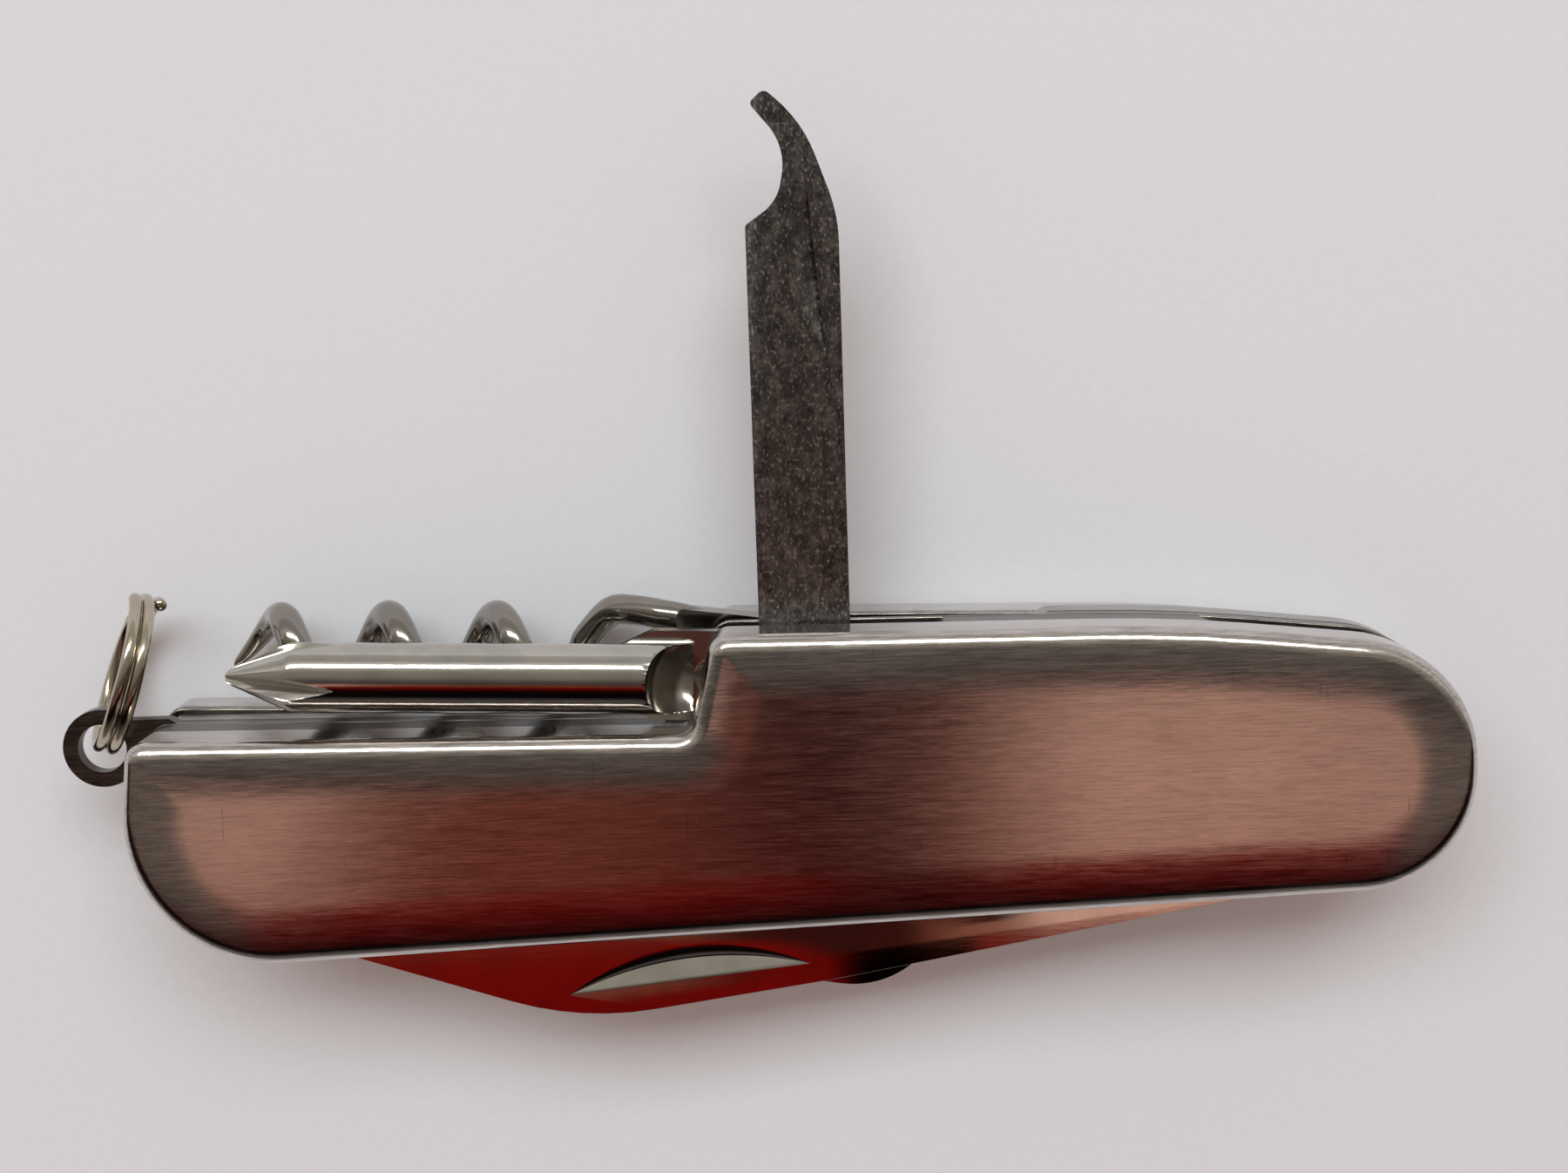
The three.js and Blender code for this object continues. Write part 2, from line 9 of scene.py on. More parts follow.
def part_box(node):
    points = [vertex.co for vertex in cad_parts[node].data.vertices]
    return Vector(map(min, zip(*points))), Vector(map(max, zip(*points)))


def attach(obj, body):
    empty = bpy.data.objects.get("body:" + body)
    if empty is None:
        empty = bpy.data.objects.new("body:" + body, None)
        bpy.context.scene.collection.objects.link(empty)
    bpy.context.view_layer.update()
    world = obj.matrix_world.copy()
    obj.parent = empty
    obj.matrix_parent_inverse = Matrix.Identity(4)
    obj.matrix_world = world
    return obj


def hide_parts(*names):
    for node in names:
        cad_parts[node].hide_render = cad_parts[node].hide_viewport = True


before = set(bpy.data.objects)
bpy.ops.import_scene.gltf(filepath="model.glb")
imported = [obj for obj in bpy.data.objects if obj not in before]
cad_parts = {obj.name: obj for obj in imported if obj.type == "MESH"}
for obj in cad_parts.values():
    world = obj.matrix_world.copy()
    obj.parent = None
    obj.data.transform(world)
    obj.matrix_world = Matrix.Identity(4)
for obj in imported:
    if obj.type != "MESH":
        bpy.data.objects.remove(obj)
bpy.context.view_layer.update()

MM = 0.001  # shapes are drawn in millimetres and scaled to metres at the end

# ---- driving dimensions, in millimetres -----------------------------------------------------------

# Corners are [x, y, radius], in the frame's plan.
HANDLE = [
    [-46.8, -11.29, 10],
    [45.65, -7.96, 8],
    [45.65, 8.17, 8.6],
    [25.5, 10.42, 110],
    [-5.45, 10.78, 1.5],
    [-7.1, 4.08, 1.3],
    [-45, 4.78, 1.5],
]
BACK_TURN = math.radians(-0.72)  # the back cover sits a little askew
BACK_TURN_ABOUT = [-21, 0]

SCALE_WALL = 0.9
EDGE_REACH = 1.1  # how far a scale's rounded edge reaches in, and down
EDGE_DROP = 1.0
CROWN_REACH = 4.5  # the pressed face still falls a little this far in from the edge
CROWN_DROP = 0.33
CROWN_CORNER = 0.13  # least corner radius there, for every millimetre further in
RIM_ROUND = 0.12

BLADE_PIN = [38, -2.8]
OPENER_PIN = [-37.8, -4.2]
BACK_TOOL_PIN = [0.8, 7.1]
SPRING_PIN = [-13, 1.6]
PIVOT_RADIUS = 1.25
BACK_TOOL_PIN_RADIUS = 1.1
SPRING_PIN_RADIUS = 0.9
HEAD_SPREAD = 0.45
BUSH_RADIUS = 2.5
BLADE_TANG = 4.6
OPENER_TANG = 4.2
BACK_TOOL_TANG = 3.1
DRIVER_TILT = math.radians(2.2)
CORKSCREW_TILT = math.radians(1.67)

HOOK_WIDTH = 6.24

SHAFT_RADIUS = 2.38
SHAFT_HEIGHT = 12.75
SHAFT_LENGTH = 39.3
SHAFT_START = 7.7  # where the scoop's ramp leaves the tang
POINT_LENGTH = 4.3
POINT_RADIUS = 0.45
FLUTE_LENGTH = 8
FLUTE_BAR = 3  # side of the square bar that each flute is cut with
FLUTE_FLOOR = 0.05  # how far from the axis a flute starts
FLUTE_TURN = math.radians(-12)
SCOOP_LENGTH = 3.1  # along the shaft, from the tang's face to the shaft's crown
SCOOP_RADIUS = 4.5

GRIND_HEIGHT = 6  # of the bevel along the blade's cutting edge
GRIND_LENGTH = 60
GRIND_MIDDLE = 42
EDGE_HEIGHT = -0.9
EDGE_THICKNESS = 0.2
WHEEL_THICKNESS = 4  # of the grinding wheel that cuts a fingernail groove

WIRE_RADIUS = 1.15
COIL_RADIUS = 2.6
COIL_PITCH = 7.7
COIL_TURNS = 2.8
COIL_HEIGHT = 4.9
COIL_SIDE = -0.6
FIRST_CREST = 37.1
TIP_TURN = 0.33
TIP_STRETCH = 1.4

EYE = [-48.5, 3.05]
EYE_RADIUS = 2.75
EYE_HOLE = 1.7
RING_WIRE = 0.43
RING_RADIUS = 5.35
RING_PITCH = 0.9
RING_TURNS = 2
RING_LEAN_OUT = math.radians(69)
RING_LEAN_OVER = math.radians(20)
RING_DROP = 0.8

ARC_STEP = math.radians(5)
SMOOTH_COSINE = math.cos(math.radians(38))  # faces that meet at less than this are shaded as one surface
SHARP_ANGLE = math.radians(35)  # edges sharper than this get a small rounding
FAR_BELOW, FAR_ABOVE = -5, 25  # heights of a cutter that goes right through the handle


# ---- drawing --------------------------------------------------------------------------------------


def outline(corners):
    """Points of a closed outline, each corner rounded by an arc of its radius."""
    points = []
    for index, (x, y, radius) in enumerate(corners):
        corner = Vector((x, y))
        back = (Vector(corners[index - 1][:2]) - corner).normalized()
        on = (Vector(corners[(index + 1) % len(corners)][:2]) - corner).normalized()
        half = back.angle(on) / 2
        centre = corner + (back + on).normalized() * (radius / math.sin(half))
        first = corner + back * (radius / math.tan(half)) - centre
        turn = math.pi - 2 * half
        way = -1 if back.cross(on) > 0 else 1
        steps = max(3, math.ceil(turn / ARC_STEP))
        for step in range(steps + 1):
            points.append(centre + Matrix.Rotation(way * turn * step / steps, 2) @ first)
    return points


def inset(corners, distance):
    """The same corners moved inwards; a corner that bulges loses radius and a hollow one gains it."""
    edges = []
    for index, (x, y, _) in enumerate(corners):
        along = (Vector(corners[(index + 1) % len(corners)][:2]) - Vector((x, y))).normalized()
        edges.append((Vector((x - along.y * distance, y + along.x * distance)), along))
    moved = []
    for index, (_, _, radius) in enumerate(corners):
        last_start, last_along = edges[index - 1]
        start, along = edges[index]
        turn = last_along.cross(along)
        corner = last_start + last_along * ((start - last_start).cross(along) / turn)
        rounded = max(radius - distance, 0.1) if turn > 0 else radius + distance
        moved.append([corner.x, corner.y, rounded])
    return moved


def turned(corners, angle, about):
    middle = Vector(about)
    spin = Matrix.Rotation(angle, 2)
    moved = [(spin @ (Vector((x, y)) - middle) + middle, radius) for x, y, radius in corners]
    return [[place.x, place.y, radius] for place, radius in moved]


def solid(name, loops):
    """A closed mesh through loops of equal length, with a flat face on the first and the last."""
    builder = bmesh.new()
    rings = [[builder.verts.new(point) for point in loop] for loop in loops]
    count = len(rings[0])
    for low, high in zip(rings, rings[1:]):
        for i in range(count):
            j = (i + 1) % count
            builder.faces.new((low[i], low[j], high[j], high[i]))
    builder.faces.new(reversed(rings[0]))
    builder.faces.new(rings[-1])
    bmesh.ops.recalc_face_normals(builder, faces=builder.faces)
    mesh = bpy.data.meshes.new(name)
    builder.to_mesh(mesh)
    builder.free()
    piece = bpy.data.objects.new(name, mesh)
    bpy.context.scene.collection.objects.link(piece)
    return piece


def prism(points, low, high, name="cutter"):
    return solid(name, [[(p[0], p[1], z) for p in points] for z in (low, high)])


def plate(corners, low, high, name="cutter"):
    return prism(outline(corners), low, high, name)


def circle(radius, centre=(0, 0), steps=64):
    angles = [2 * math.pi * step / steps for step in range(steps)]
    return [(centre[0] + radius * math.cos(a), centre[1] + radius * math.sin(a)) for a in angles]


def post(radius, low, high, centre=(0, 0), name="cutter"):
    return prism(circle(radius, centre), low, high, name)


def block(size_x, size_y, size_z, place=Matrix.Identity(4)):
    x, y = size_x / 2, size_y / 2
    box = prism([(-x, -y), (x, -y), (x, y), (-x, y)], -size_z / 2, size_z / 2)
    box.data.transform(place)
    return box


def lathe(profile, place, steps=72, name="cutter"):
    """A profile of (along, radius) turned about +X."""
    angles = [2 * math.pi * step / steps for step in range(steps)]
    loops = [[(x, r * math.cos(a), r * math.sin(a)) for a in angles] for x, r in profile]
    piece = solid(name, loops)
    piece.data.transform(place)
    return piece


def keep_modifiers(piece):
    mesh = bpy.data.meshes.new_from_object(piece.evaluated_get(bpy.context.evaluated_depsgraph_get()))
    old = piece.data
    piece.modifiers.clear()
    piece.data = mesh
    bpy.data.meshes.remove(old)


def combine(piece, other, operation="DIFFERENCE"):
    step = piece.modifiers.new("combine", "BOOLEAN")
    step.object = other
    step.operation = operation
    step.solver = "EXACT"
    keep_modifiers(piece)
    bpy.data.objects.remove(other)


def soften(piece, width, segments=3):
    """A small rounding on every sharp edge."""
    step = piece.modifiers.new("soften", "BEVEL")
    step.width = width
    step.segments = segments
    step.limit_method = "ANGLE"
    step.angle_limit = SHARP_ANGLE
    step.loop_slide = False
    keep_modifiers(piece)


def smooth_path(points, per_span):
    """A curve through all the points, with per_span points from each to the next."""
    padded = [points[0] * 2 - points[1], *points, points[-1] * 2 - points[-2]]
    path = []
    for a, b, c, d in zip(padded, padded[1:], padded[2:], padded[3:]):
        for step in range(per_span):
            t = step / per_span
            bend = (a * 2 - b * 5 + c * 4 - d) * t**2
            twist = (b * 3 - a - c * 3 + d) * t**3
            path.append((b * 2 + (c - a) * t + bend + twist) / 2)
    path.append(points[-1])
    return path


def tube(name, path, radius_at, sides=28, end_round=3):
    """Round wire along a path, its radius given at each share of the way, with rounded ends."""
    rings = []
    last_direction = (path[1] - path[0]).normalized()
    side = last_direction.orthogonal().normalized()
    for index, centre in enumerate(path):
        ahead = path[min(index + 1, len(path) - 1)]
        behind = path[max(index - 1, 0)]
        direction = (ahead - behind).normalized()
        side = last_direction.rotation_difference(direction) @ side
        last_direction = direction
        rings.append((centre, direction, side.copy(), radius_at(index / (len(path) - 1))))

    def ring(centre, direction, side, radius):
        other = direction.cross(side)
        angles = [2 * math.pi * step / sides for step in range(sides)]
        return [centre + (side * math.cos(a) + other * math.sin(a)) * radius for a in angles]

    def rounded_end(centre, direction, side, radius, share, way):
        """One loop of a rounded end, at a share of the way from the wire's full width out to its tip."""
        angle = math.pi / 2 * share
        out = direction * (way * radius * 0.5 * math.sin(angle))
        return ring(centre + out, direction, side, radius * max(math.cos(angle), 0.25))

    loops = [rounded_end(*rings[0], 1 - step / end_round, -1) for step in range(end_round)]
    loops += [ring(*r) for r in rings]
    loops += [rounded_end(*rings[-1], step / end_round, 1) for step in range(1, end_round + 1)]
    return solid(name, loops)


def place_tool(pin, angle):
    return Matrix.Translation((pin[0], pin[1], 0)) @ Matrix.Rotation(angle, 4, "Z")


def shade(mesh):
    """Flat faces are shaded flat, and the small rounding between them turns smoothly into them."""
    for polygon in mesh.polygons:
        polygon.use_smooth = True
    touching = [[] for _ in mesh.vertices]
    for polygon in mesh.polygons:
        for vertex in polygon.vertices:
            touching[vertex].append((polygon.normal.copy(), polygon.area))
    normals = []
    for polygon in mesh.polygons:
        for vertex in polygon.vertices:
            smooth = [(n, area) for n, area in touching[vertex] if n.dot(polygon.normal) > SMOOTH_COSINE]
            total = sum((n * area for n, area in smooth), Vector())
            normals.append(total.normalized() if total.length > 0 else polygon.normal.copy())
    mesh.normals_split_custom_set(normals)


def finished(piece, body, node, material, place=Matrix.Identity(4)):
    """Scales the piece to metres, shades it, gives it its material, ties it to the body and hides the CAD
    node it stands for.
    """
    piece.data.transform(place)
    shade(piece.data)
    piece.data.transform(Matrix.Scale(MM, 4))
    piece.data.materials.clear()
    piece.data.materials.append(material)
    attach(piece, body)
    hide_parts(node)
    return piece


def layer(node):
    """Lowest and highest height of a CAD node, in millimetres."""
    low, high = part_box(node)
    return low.z / MM, high.z / MM


# ---- materials ------------------------------------------------------------------------------------


class Nodes:
    """Short calls for building a material's node tree."""

    def __init__(self, tree):
        self.tree = tree

    def add(self, kind, inputs=None, **settings):
        node = self.tree.nodes.new(kind)
        for key, value in settings.items():
            setattr(node, key, value)
        for key, value in (inputs or {}).items():
            if isinstance(value, bpy.types.NodeSocket):
                self.tree.links.new(value, node.inputs[key])
            else:
                node.inputs[key].default_value = value
        return node

    def noise(self, vector, scale, detail=4.0, roughness=0.6):
        inputs = {"Vector": vector, "Scale": scale, "Detail": detail, "Roughness": roughness}
        return self.add("ShaderNodeTexNoise", inputs).outputs["Fac"]

    def stretched(self, vector, scale, turn=0.0):
        made = self.add("ShaderNodeMapping", {"Vector": vector, "Scale": scale, "Rotation": (0, 0, turn)})
        return made.outputs["Vector"]

    def remap(self, value, low, high, to_low, to_high):
        made = self.add(
            "ShaderNodeMapRange",
            {"Value": value, "From Min": low, "From Max": high, "To Min": to_low, "To Max": to_high},
        )
        return made.outputs["Result"]

    def math(self, operation, a, b=0.0):
        made = self.add("ShaderNodeMath", {0: a, 1: b}, operation=operation)
        return made.outputs["Value"]

    def ramp(self, value, stops, interpolation="LINEAR"):
        made = self.add("ShaderNodeValToRGB", {"Fac": value})
        made.color_ramp.interpolation = interpolation
        elements = made.color_ramp.elements
        elements[0].position, elements[0].color = stops[0][0], (*stops[0][1], 1)
        elements[1].position, elements[1].color = stops[-1][0], (*stops[-1][1], 1)
        for position, colour in stops[1:-1]:
            elements.new(position).color = (*colour, 1)
        return made.outputs["Color"]

    def mix(self, share, a, b):
        made = self.add("ShaderNodeMix", data_type="RGBA")
        for index, value in ((0, share), (6, a), (7, b)):
            if isinstance(value, bpy.types.NodeSocket):
                self.tree.links.new(value, made.inputs[index])
            else:
                made.inputs[index].default_value = value
        return made.outputs[2]


def new_material(name):
    material = bpy.data.materials.new(name)
    material.use_nodes = True
    nodes = Nodes(material.node_tree)
    shader = material.node_tree.nodes["Principled BSDF"]
    shader.inputs["Metallic"].default_value = 1
    place = nodes.add("ShaderNodeTexCoord").outputs["Object"]
    return material, nodes, shader, place


def link(nodes, output, shader, name):
    nodes.tree.links.new(output, shader.inputs[name])


def bump(nodes, height, shader, distance, strength=1.0):
    made = nodes.add("ShaderNodeBump", {"Height": height, "Distance": distance, "Strength": strength})
    link(nodes, made.outputs["Normal"], shader, "Normal")


def brushed_steel(name, light, dark, rough, grain, depth, anisotropic=0.5):
    """Steel with fine lines along X. light and dark are the two tones that the lines vary between."""
    material, nodes, shader, place = new_material(name)
    fine = nodes.noise(nodes.stretched(place, (420, grain, grain)), 1.0, 4.0, 0.75)
    coarse = nodes.noise(nodes.stretched(place, (150, grain / 4, grain / 4), 0.01), 1.0, 4.0, 0.65)
    lines = nodes.math("ADD", nodes.math("MULTIPLY", fine, 0.65), nodes.math("MULTIPLY", coarse, 0.35))
    tone = nodes.mix(nodes.remap(lines, 0.4, 0.6, 0, 1), (*dark, 1), (*light, 1))
    scratches = nodes.noise(nodes.stretched(place, (2600, 210, 400), 0.35), 1.0, 3.0, 0.5)
    crossing = nodes.noise(nodes.stretched(place, (1900, 160, 400), -0.12), 1.0, 3.0, 0.5)
    scratches = nodes.remap(scratches, 0.27, 0.24, 0, 1)
    crossing = nodes.remap(crossing, 0.27, 0.23, 0, 1)
    worn = nodes.math("MAXIMUM", scratches, crossing)
    tone = nodes.mix(nodes.math("MULTIPLY", worn, 0.5), tone, (*[c * 0.5 for c in dark], 1))
    link(nodes, tone, shader, "Base Color")
    smudge = nodes.noise(place, 130.0, 3.0, 0.55)
    along_lines = nodes.remap(lines, 0.35, 0.65, rough - 0.03, rough + 0.04)
    smudged = nodes.remap(smudge, 0.4, 0.66, 0, 0.02)
    link(nodes, nodes.math("ADD", along_lines, smudged), shader, "Roughness")
    shader.inputs["Anisotropic"].default_value = anisotropic
    across = nodes.add("ShaderNodeCombineXYZ", {"Y": 1.0}).outputs["Vector"]
    spaces = {"vector_type": "VECTOR", "convert_from": "OBJECT", "convert_to": "WORLD"}
    turned_across = nodes.add("ShaderNodeVectorTransform", {"Vector": across}, **spaces)
    link(nodes, turned_across.outputs["Vector"], shader, "Tangent")
    bump(nodes, lines, shader, depth)
    return material


def polished_steel(name, colour, rough, haze=0.05, depth=2e-6):
    """Bright steel with a faint haze and hairline scratches."""
    material, nodes, shader, place = new_material(name)
    hairs = nodes.noise(nodes.stretched(place, (350, 5200, 5200), 0.05), 1.0, 4.0, 0.7)
    cloud = nodes.noise(place, 240.0, 4.0, 0.6)
    dark = tuple(c * 0.82 for c in colour)
    tone = nodes.mix(nodes.remap(cloud, 0.4, 0.65, 0, 1), (*colour, 1), (*dark, 1))
    link(nodes, tone, shader, "Base Color")
    roughness = nodes.math(
        "ADD", nodes.remap(hairs, 0.4, 0.7, rough, rough + haze), nodes.remap(cloud, 0.4, 0.7, 0, haze)
    )
    link(nodes, roughness, shader, "Roughness")
    bump(nodes, hairs, shader, depth)
    return material


def tumbled_steel(name):
    """Dull dark steel with small bright specks, as it comes out of a tumbling drum."""
    material, nodes, shader, place = new_material(name)
    blotch = nodes.noise(nodes.stretched(place, (1300, 800, 1000)), 1.0, 6.0, 0.75)
    speck = nodes.noise(nodes.stretched(place, (4600, 3000, 3600)), 1.0, 3.0, 0.6)
    grain = nodes.noise(nodes.stretched(place, (5500, 2200, 3000)), 1.0, 4.0, 0.65)
    dark, middle, light = (0.08, 0.08, 0.077), (0.16, 0.16, 0.157), (0.32, 0.32, 0.31)
    tone = nodes.ramp(blotch, [(0.36, dark), (0.5, middle), (0.64, light)])
    tone = nodes.mix(nodes.remap(speck, 0.56, 0.68, 0, 0.8), tone, (0.75, 0.74, 0.73, 1))
    link(nodes, tone, shader, "Base Color")
    link(nodes, nodes.remap(grain, 0.35, 0.65, 0.26, 0.4), shader, "Roughness")
    both = nodes.math("ADD", nodes.math("MULTIPLY", grain, 0.6), nodes.math("MULTIPLY", speck, 0.5))
    bump(nodes, both, shader, 1.1e-5)
    return material


SCALE_STEEL = brushed_steel("brushed_scale", (0.72, 0.68, 0.65), (0.42, 0.39, 0.37), 0.13, 7000, 4e-6)
SHEET_STEEL = brushed_steel("sheet_steel", (0.34, 0.32, 0.29), (0.16, 0.15, 0.14), 0.2, 5000, 6e-6, 0.3)
# A darker copy of the sheet steel, with painted shade in its colour: it turns the front spring's edge into
# the dark gap between the liners and makes the key ring eye dark, as if in shade.
SHADE_DARKENED_STEEL = brushed_steel("shade_darkened_steel", (0.16, 0.145, 0.13), (0.05, 0.045, 0.04), 0.3, 5000, 6e-6, 0.3)
# Polished steel darker than the other polished parts, with painted shade in its colour: it darkens the
# insides of the coil.
SHADE_DARKENED_COIL_STEEL = polished_steel("shade_darkened_coil_steel", (0.34, 0.32, 0.29), 0.1, 0.05, 1.5e-6)
PIN_STEEL = polished_steel("pin_steel", (0.58, 0.57, 0.54), 0.25)
BLADE_STEEL = polished_steel("polished_blade", (0.66, 0.63, 0.60), 0.025, 0.02, 6e-7)
ROUND_STEEL = polished_steel("polished_round", (0.58, 0.56, 0.52), 0.08, 0.04, 1.5e-6)
HOOK_STEEL = tumbled_steel("tumbled_steel")
RING_STEEL = polished_steel("ring_wire", (0.54, 0.48, 0.38), 0.1, 0.06)


# ---- handle ---------------------------------------------------------------------------------------


def scale_profile():
    """Pairs of distance in from the outline and height above the rim.

    They run from the inner ceiling, down the wall, round the rim and up to the face.
    """
    depth = layer("front_scale")[1] - layer("front_scale")[0]

    def face(distance):
        crown = CROWN_DROP * (1 - min(distance / CROWN_REACH, 1)) ** 2
        out = max(1 - distance / EDGE_REACH, 0)
        return depth - crown - EDGE_DROP * (1 - math.sqrt(1 - out * out))

    inner = depth - SCALE_WALL
    profile = [(SCALE_WALL + 0.7, inner), (SCALE_WALL + 0.2, inner - 0.2), (SCALE_WALL, inner - 0.7)]
    profile += [(SCALE_WALL, RIM_ROUND), (SCALE_WALL - RIM_ROUND, 0), (RIM_ROUND, 0)]
    profile += [(RIM_ROUND * 0.3, RIM_ROUND * 0.3), (0, RIM_ROUND)]
    round_steps = 12
    for step in range(round_steps + 1):
        distance = EDGE_REACH * (1 - math.cos(math.pi / 2 * step / round_steps))
        profile.append((distance, face(distance)))
    crown_steps = 8
    for step in range(1, crown_steps + 1):
        distance = EDGE_REACH + (CROWN_REACH - EDGE_REACH) * step / crown_steps
        profile.append((distance, face(distance)))
    return profile


def crown_corners(corners, distance):
    """Corners inset by a distance; the tight ones grow rounder on the crown, so that no crease shows."""
    least = CROWN_CORNER * max(distance - EDGE_REACH, 0)
    return [[x, y, max(radius, least)] for x, y, radius in inset(corners, distance)]


def scale(name, node, corners, rim, way):
    """A pressed shell. way is 1 where its face looks up and -1 where it looks down."""
    loops = []
    for distance, rise in scale_profile():
        points = outline(crown_corners(corners, distance))
        loops.append([(p[0], p[1], rim + way * rise) for p in points])
    piece = solid(name, loops)
    finished(piece, "handle", node, SCALE_STEEL)


BACK_CORNERS = turned(HANDLE, BACK_TURN, BACK_TURN_ABOUT)
ALL_PINS = [
    (OPENER_PIN, PIVOT_RADIUS),
    (BLADE_PIN, PIVOT_RADIUS),
    (BACK_TOOL_PIN, BACK_TOOL_PIN_RADIUS),
    (SPRING_PIN, SPRING_PIN_RADIUS),
]
PIN_GAP = 0.05


def drill(piece, pins):
    for place, radius in pins:
        combine(piece, post(radius + PIN_GAP, FAR_BELOW, FAR_ABOVE, place))


def tang_dip(ramp_end):
    """What is cut out of a spring's back, under the tangs of the folded tools."""
    corners = [
        [-9, 13, 0.1],
        [-9, 3.85, 0.1],
        [-6, 3.7, 1],
        [5.2, 3.7, 1.5],
        [ramp_end, 10.6, 0.1],
        [ramp_end, 13, 0.1],
    ]
    return plate(corners, FAR_BELOW, FAR_ABOVE)


FRONT_DIP_END = 10.4
BACK_DIP_END = 18.2


def liners():
    sheets = [
        ("front_liner", inset(HANDLE, SCALE_WALL + 0.1)),
        ("inner_liner", inset(HANDLE, 0.04)),
        ("back_liner", inset(BACK_CORNERS, 0.04)),
    ]
    for node, corners in sheets:
        piece = plate(corners, *layer(node), f"{node}_sheet")
        soften(piece, 0.14)
        drill(piece, ALL_PINS)
        finished(piece, "handle", node, SHEET_STEEL)


def key_ring_plate():
    low, high = layer("key_ring_plate")
    arm = [
        [-47, 0.9, 0.3],
        [-41, 0.9, 0.3],
        [-41, 3.4, 0.3],
        [-43.7, 5, 0.3],
        [-47.6, 5, 0.3],
    ]
    piece = plate(inset(HANDLE, 0.12), low, high, "key_ring_plate_sheet")
    combine(piece, tang_dip(BACK_DIP_END))
    combine(piece, plate(arm, low, high), "UNION")
    combine(piece, post(EYE_RADIUS, low, high, EYE), "UNION")
    combine(piece, post(EYE_HOLE, FAR_BELOW, FAR_ABOVE, EYE))
    soften(piece, 0.34, 5)
    drill(piece, ALL_PINS)
    # The key ring plate takes the darkened sheet steel: painted shade on the eye.
    finished(piece, "handle", "key_ring_plate", SHADE_DARKENED_STEEL)


def springs():
    front = [
        [-48, 8, 0.1],
        [-48, -4, 0.1],
        [-41, -7.4, 1.5],
        [-34.4, -6.6, 1.5],
        [-33.2, 0.2, 2],
        [6, -0.2, 12],
        [30, 1.8, 8],
        [41, 1.8, 0.6],
        [41, 7.1, 1],
        [27, 10.1, 8],
        [24, 13, 0.1],
        [-10, 13, 0.1],
    ]
    back = [
        [-44, 8, 0.1],
        [-43.6, 3.6, 2],
        [-41, 0.25, 0.6],
        [-32.6, 0.25, 3],
        [-30, 0, 3],
        [8, 0, 12],
        [30, -0.6, 4],
        [31.6, -7, 2],
        [42, -8, 3],
        [48, -4, 0.1],
        [48, 13, 0.1],
        [-30, 13, 0.1],
    ]
    for node, bar, margin, dip_end, steel in (
        # The front spring takes the darkened sheet steel: painted shade for the dark gap between the
        # liners; the back spring keeps the plain sheet steel.
        ("front_spring", front, 0.08, FRONT_DIP_END, SHADE_DARKENED_STEEL),
        ("back_spring", back, 0.1, BACK_DIP_END, SHEET_STEEL),
    ):
        low, high = layer(node)
        piece = plate(inset(HANDLE, margin), low, high, f"{node}_bar")
        combine(piece, plate(bar, low - 1, high + 1), "INTERSECT")
        combine(piece, tang_dip(dip_end))
        drill(piece, ALL_PINS)
        soften(piece, 0.17)
        finished(piece, "handle", node, steel)


def turned_pin(node, radius, centre, head=0.0):
    """A round pin with eased ends, and heads at both ends if it is peened."""
    low, high = layer(node)
    ease = 0.12
    if head:
        wide = radius + head
        foot = [(0, wide * 0.6), (head * 0.5, wide), (head, wide), (head, radius)]
        profile = [(low + rise, r) for rise, r in foot]
        profile += [(high - rise, r) for rise, r in reversed(foot)]
    else:
        profile = [(low, radius - ease), (low + ease, radius), (high - ease, radius), (high, radius - ease)]
    loops = [[(x, y, z) for x, y in circle(r, centre, 48)] for z, r in profile]
    finished(solid(f"{node}_round", loops), "handle", node, PIN_STEEL)


def bush(node, centre):
    low, high = layer(node)
    piece = post(BUSH_RADIUS, low, high, centre, f"{node}_round")
    combine(piece, post(PIVOT_RADIUS + PIN_GAP, low - 1, high + 1, centre))
    soften(piece, 0.12)
    finished(piece, "handle", node, PIN_STEEL)


# ---- tools: each is drawn with its pin at the origin and its tip towards +X -------------------------


def nail_groove(length, width, depth, wall_slope, place):
    """A fingernail groove, as a wheel with a flat face and a conical flank cuts it.

    The face leaves a wall that slopes down from the straight side, and the flank a floor that rises to
    the curved side.
    """
    wall_width = depth / math.sin(wall_slope)
    radius = (length**2 / 4 + wall_width**2) / (2 * wall_width)
    floor_slope = math.atan2(depth, width - depth / math.tan(wall_slope))
    spread = WHEEL_THICKNESS * math.tan(math.pi / 2 - wall_slope - floor_slope)
    place = place @ Matrix.Rotation(math.pi / 2 - wall_slope, 4, "X")
    place = place @ Matrix.Translation((0, 0, radius - wall_width)) @ Matrix.Rotation(math.pi / 2, 4, "Z")
    return lathe([(0, radius), (WHEEL_THICKNESS, radius + spread)], place, 360)


